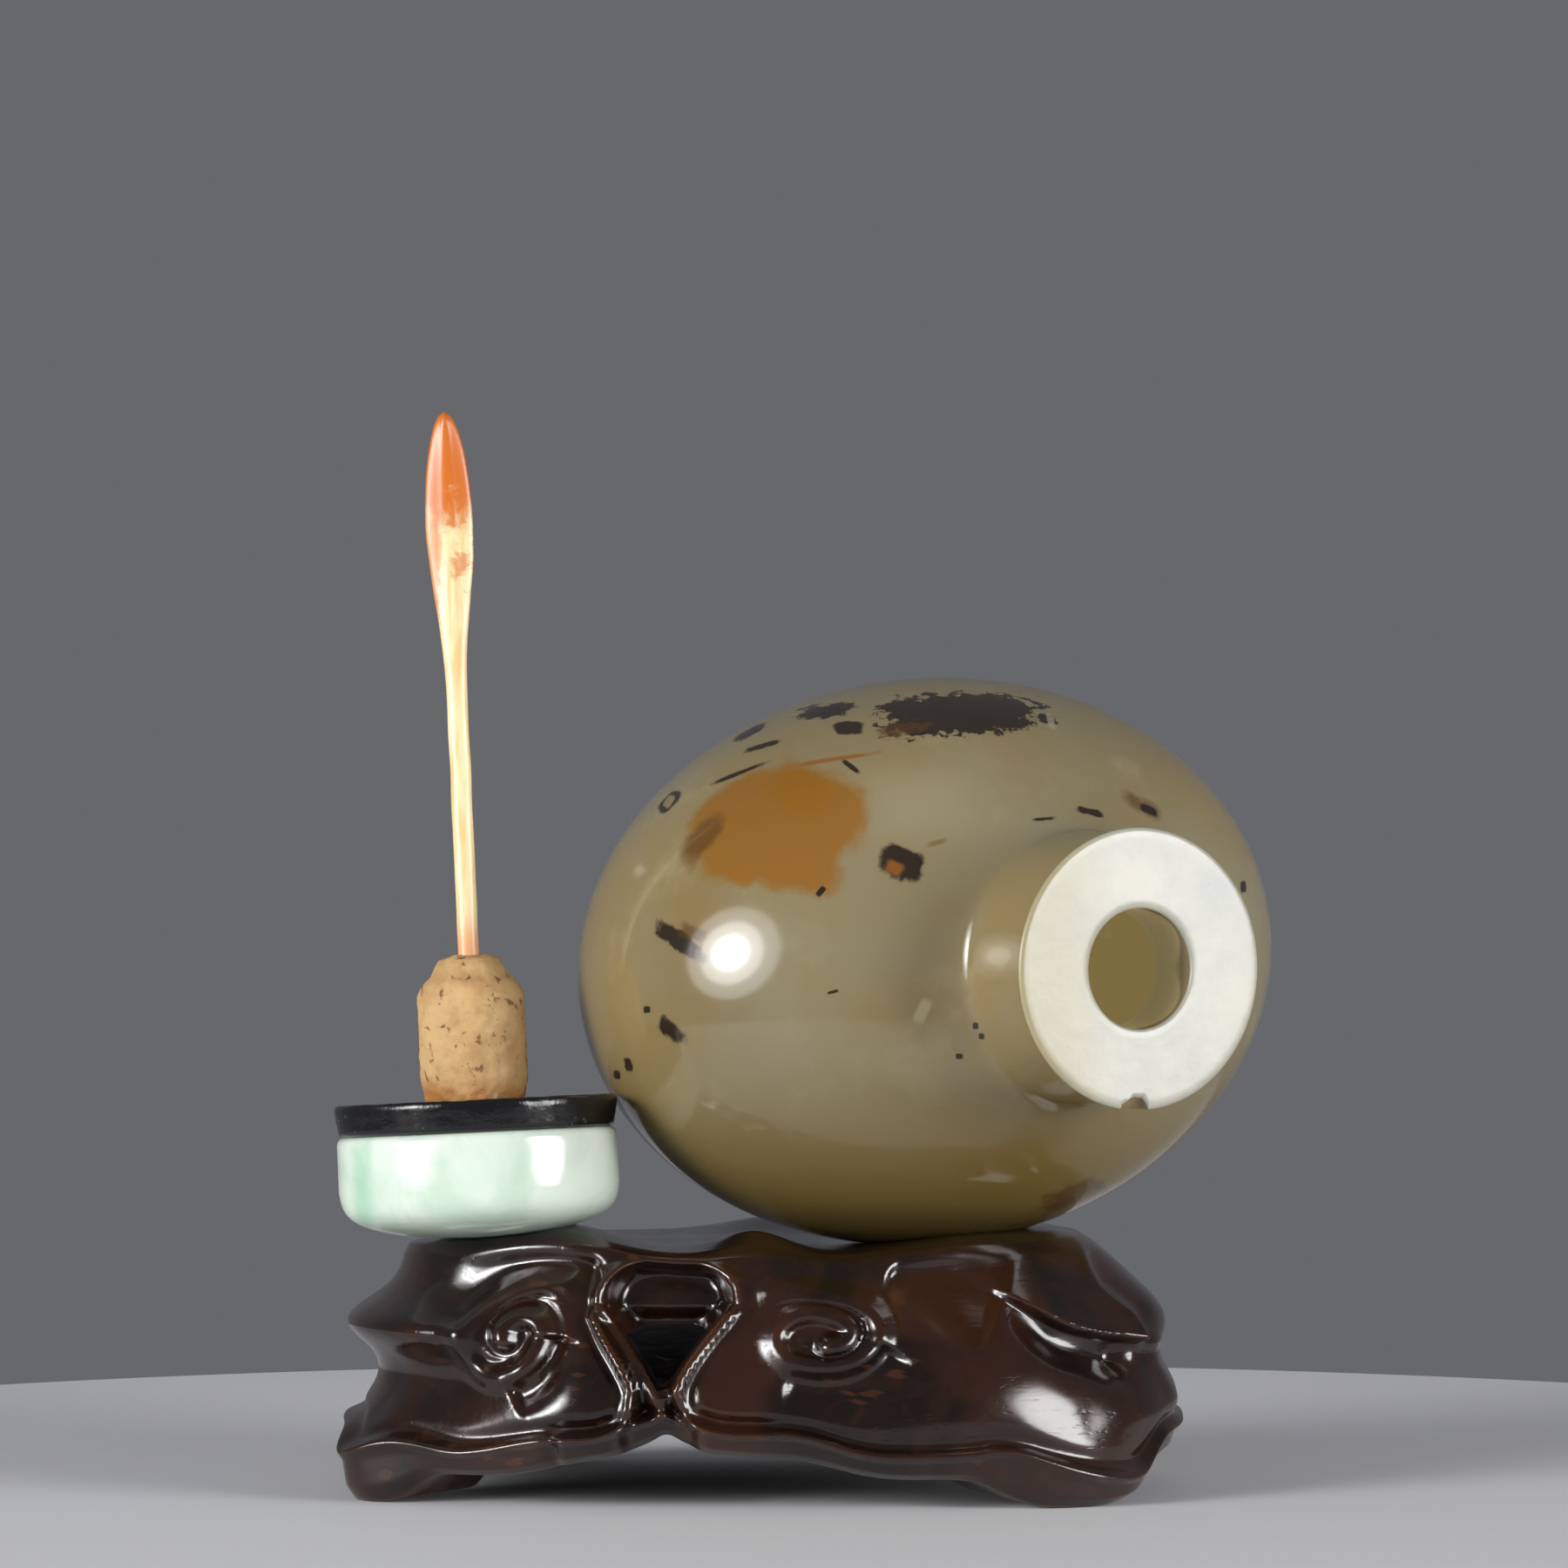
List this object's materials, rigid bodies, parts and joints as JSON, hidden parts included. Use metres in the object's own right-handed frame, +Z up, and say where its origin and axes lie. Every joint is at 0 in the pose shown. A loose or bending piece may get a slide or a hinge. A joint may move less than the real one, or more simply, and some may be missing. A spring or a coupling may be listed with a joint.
{
  "type": "snuff bottle on a carved stand",
  "caption": "Hollow agate snuff bottle lying on a carved dark wood stand, with its jade-capped stopper and spoon standing upside down beside it.",
  "frame": {"origin": "centre of the overall bounding box, at the ground the stand's feet rest on", "axes": "+Z up; -Y is the way the bottle's mouth looks, along the bottle's own axis; +X is to the right of someone facing the mouth. The stand is turned 30 degrees clockwise (seen from above) under the bottle."},
  "size_m": [0.0676, 0.0612, 0.0755],
  "materials": {
    "agate": "polished translucent honey-grey agate with amber and dark brown inclusions",
    "dark_wood": "carved, dark red-brown, waxed to a gloss",
    "jade": "polished pale green-white jade",
    "black_collar": "glossy black",
    "cork": "whittled cork, matte and pitted",
    "bone": "polished bone, stained orange at the tip"
  },
  "bodies": {
    "root": {"agate_bottle": "agate", "carved_stand": "dark_wood", "stopper_cap": "jade", "stopper_collar": "black_collar", "stopper_cork": "cork", "snuff_spoon": "bone"}
  },
  "joints": []
}
